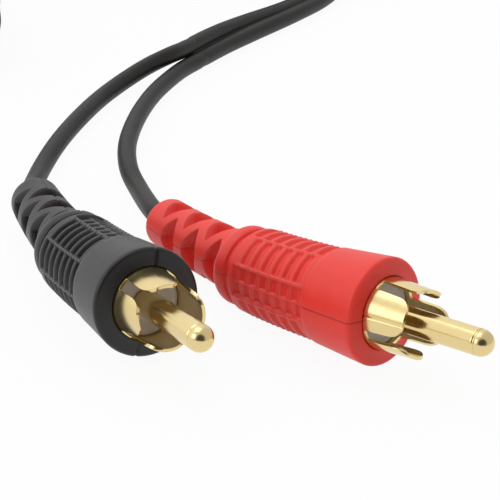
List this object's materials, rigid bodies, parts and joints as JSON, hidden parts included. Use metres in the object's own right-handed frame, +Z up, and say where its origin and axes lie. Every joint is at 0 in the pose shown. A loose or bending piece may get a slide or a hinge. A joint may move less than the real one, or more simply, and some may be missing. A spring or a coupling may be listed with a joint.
{
  "type": "stereo phono audio cable",
  "caption": "Stereo phono lead with moulded plugs: gold pins and split shells, slotted strain reliefs, round leads joining into a flat coiled twin lead.",
  "frame": {"origin": "on the surface the cable lies on, under the middle of the box round the two near plugs", "axes": "+Z up from the surface, +Y away from the viewer towards the coil, +X to the right as pictured"},
  "size_m": [0.1004, 0.2407, 0.0141],
  "materials": {
    "black_pvc": "satin moulded",
    "red_pvc": "satin moulded",
    "jacket_pvc": "satin extruded",
    "tie_pvc": "satin",
    "gold_plating": "polished gold plate",
    "insulator_plastic": "semi-gloss moulded",
    "white_polyethylene": "waxy",
    "bare_copper": "drawn wire"
  },
  "bodies": {
    "root": {"coil_tie_1": "tie_pvc", "coil_tie_2": "tie_pvc", "far_black_boot": "black_pvc", "far_black_conductor": "bare_copper", "far_black_inner_mould": "white_polyethylene", "far_black_insulator": "insulator_plastic", "far_black_lead": "jacket_pvc", "far_black_lead_core": "white_polyethylene", "far_black_lead_end": "jacket_pvc", "far_black_pin": "gold_plating", "far_black_shell": "gold_plating", "far_black_shield_tail": "bare_copper", "far_red_boot": "red_pvc", "far_red_conductor": "bare_copper", "far_red_inner_mould": "white_polyethylene", "far_red_insulator": "insulator_plastic", "far_red_lead": "jacket_pvc", "far_red_lead_core": "white_polyethylene", "far_red_lead_end": "jacket_pvc", "far_red_pin": "gold_plating", "far_red_shell": "gold_plating", "far_red_shield_tail": "bare_copper", "far_twin_lead": "jacket_pvc", "near_black_boot": "black_pvc", "near_black_conductor": "bare_copper", "near_black_inner_mould": "white_polyethylene", "near_black_insulator": "insulator_plastic", "near_black_lead": "jacket_pvc", "near_black_lead_core": "white_polyethylene", "near_black_lead_end": "jacket_pvc", "near_black_pin": "gold_plating", "near_black_shell": "gold_plating", "near_black_shield_tail": "bare_copper", "near_red_boot": "red_pvc", "near_red_conductor": "bare_copper", "near_red_inner_mould": "white_polyethylene", "near_red_insulator": "insulator_plastic", "near_red_lead": "jacket_pvc", "near_red_lead_core": "white_polyethylene", "near_red_lead_end": "jacket_pvc", "near_red_pin": "gold_plating", "near_red_shell": "gold_plating", "near_red_shield_tail": "bare_copper", "near_twin_lead": "jacket_pvc", "twin_lead_coil": "jacket_pvc"}
  },
  "joints": []
}
